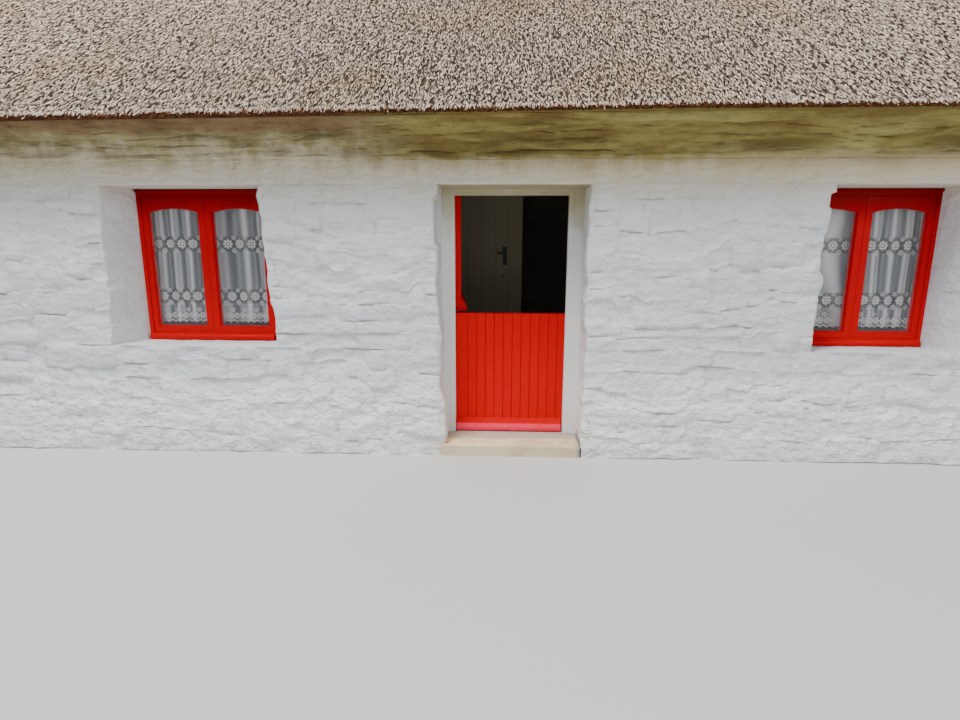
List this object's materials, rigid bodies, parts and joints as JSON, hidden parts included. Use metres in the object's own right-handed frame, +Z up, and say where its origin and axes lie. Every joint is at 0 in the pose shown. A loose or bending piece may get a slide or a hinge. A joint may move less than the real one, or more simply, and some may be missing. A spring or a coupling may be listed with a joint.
{
  "type": "thatched cottage",
  "caption": "Single-storey limewashed stone cottage with a thatched roof, a red half door, red casement windows and a chimney stack on each gable.",
  "frame": {"origin": "on the ground, under the middle of the roof", "axes": "+Z up, front wall facing -Y, +X to the right as seen from the front"},
  "size_m": [10.1, 5.81, 5.95],
  "materials": {
    "limewashed_stone": "thick limewash over rubble, stained olive under the eaves",
    "thatch": "weathered reed thatch",
    "red_paint": "red gloss paint on wood",
    "white_paint": "white paint on wood",
    "cream_paint": "old cream paint on wood",
    "bare_timber": "bare smoke-darkened timber",
    "concrete": "worn cast concrete",
    "iron": "black wrought iron",
    "window_glass": "clear",
    "lace": "net lace"
  },
  "bodies": {
    "cottage": {"back_wall": "limewashed_stone", "back_window_frame_left": "red_paint", "back_window_frame_right": "red_paint", "back_window_glass_left": "window_glass", "back_window_glass_right": "window_glass", "chimney_left": "limewashed_stone", "chimney_right": "limewashed_stone", "door_frame": "white_paint", "doorstep": "concrete", "floor_slab": "concrete", "front_wall_head": "limewashed_stone", "front_wall_left": "limewashed_stone", "front_wall_right": "limewashed_stone", "gable_wall_left": "limewashed_stone", "gable_wall_right": "limewashed_stone", "inner_door_frame": "bare_timber", "inner_hinge_bottom": "iron", "inner_hinge_top": "iron", "left_curtain": "lace", "left_window_casement_left": "red_paint", "left_window_casement_right": "red_paint", "left_window_frame": "red_paint", "left_window_pane_left": "window_glass", "left_window_pane_right": "window_glass", "lower_hook_bottom": "iron", "lower_hook_top": "iron", "right_curtain": "lace", "right_window_casement_left": "red_paint", "right_window_casement_right": "red_paint", "right_window_frame": "red_paint", "right_window_pane_left": "window_glass", "right_window_pane_right": "window_glass", "roof_couple_1": "bare_timber", "roof_couple_2": "bare_timber", "roof_couple_3": "bare_timber", "thatch_back": "thatch", "thatch_front": "thatch", "thatch_ridge": "thatch", "upper_hinge_bottom": "iron", "upper_hinge_top": "iron", "upper_leaf": "red_paint", "upper_weather_bar": "red_paint"},
    "lower_half_door": {"lower_leaf": "red_paint", "lower_strap_bottom": "iron", "lower_strap_top": "iron", "lower_weather_bar": "red_paint"},
    "inner_door": {"inner_door_handle": "iron", "inner_door_leaf": "cream_paint"}
  },
  "joints": [
    {"name": "lower_half_door_hinge", "type": "hinge", "parent": "cottage", "child": "lower_half_door", "pos_m": [-0.5385, -2.1985, 0.5], "axis": [0, 0, 1], "range_deg": [0, 95]},
    {"name": "inner_door_hinge", "type": "hinge", "parent": "cottage", "child": "inner_door", "pos_m": [-0.755, -1.135, 1], "axis": [0, 0, 1], "range_deg": [0, 90]}
  ]
}
